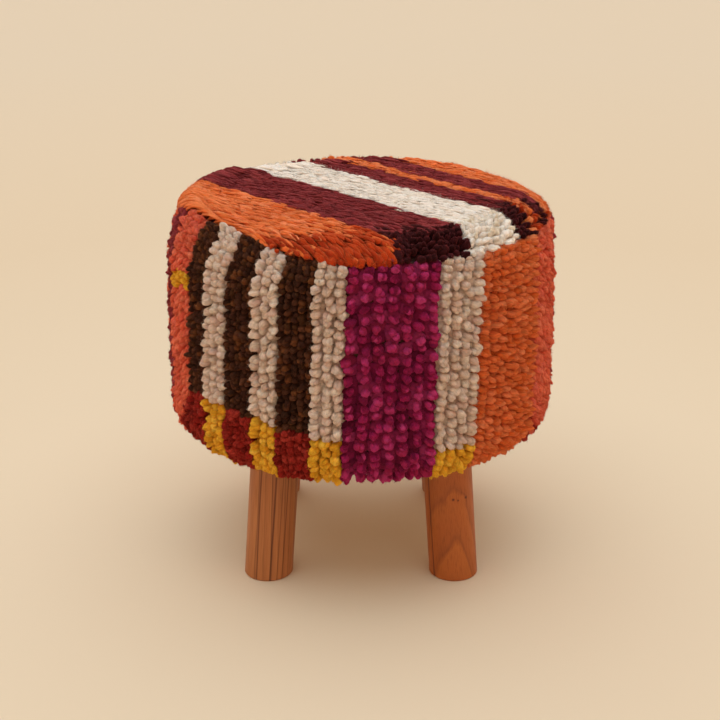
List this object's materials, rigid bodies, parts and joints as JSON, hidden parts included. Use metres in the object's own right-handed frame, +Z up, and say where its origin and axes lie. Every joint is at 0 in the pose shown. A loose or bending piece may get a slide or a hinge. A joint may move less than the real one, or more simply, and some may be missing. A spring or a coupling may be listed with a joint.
{
  "type": "upholstered stool",
  "caption": "Low round drum stool with a striped tufted wool rug cover over a padded wooden frame, on splayed round wooden legs.",
  "frame": {"origin": "on the floor, under the middle of the round seat", "axes": "+Z up along the seat's vertical axis, -Y towards the viewer of the picture, +X to that viewer's right"},
  "size_m": [0.4, 0.4, 0.383],
  "materials": {
    "leg_wood": "oiled reddish-brown hardwood with straight grain",
    "plywood": "raw plywood",
    "batten": "raw softwood",
    "hardboard": "raw hardboard",
    "zinc_steel": "zinc plated",
    "foam": "open-cell foam",
    "dust_cloth": "black spun cloth",
    "wool_maroon": "tufted wool pile",
    "wool_red_orange": "tufted wool pile",
    "wool_brown": "tufted wool pile",
    "wool_beige": "tufted wool pile",
    "wool_magenta": "tufted wool pile",
    "wool_orange": "tufted wool pile",
    "wool_yellow": "tufted wool pile",
    "wool_red": "tufted wool pile",
    "wool_cream": "tufted wool pile"
  },
  "bodies": {
    "root": {"base_board": "plywood", "top_board": "plywood", "post_right": "batten", "post_rear": "batten", "post_left": "batten", "post_front": "batten", "drum_skin": "hardboard", "leg_front_right": "leg_wood", "leg_front_left": "leg_wood", "leg_rear_left": "leg_wood", "leg_rear_right": "leg_wood", "hanger_bolts": "zinc_steel", "threaded_inserts": "zinc_steel", "foam_wrap": "foam", "foam_pad": "foam", "rug_side_maroon": "wool_maroon", "rug_side_red_orange": "wool_red_orange", "rug_side_brown": "wool_brown", "rug_side_beige": "wool_beige", "rug_side_magenta": "wool_magenta", "rug_side_orange": "wool_orange", "rug_border_yellow": "wool_yellow", "rug_border_red": "wool_red", "rug_top_orange": "wool_orange", "rug_top_maroon": "wool_maroon", "rug_top_cream": "wool_cream", "dust_cover": "dust_cloth"}
  },
  "joints": []
}
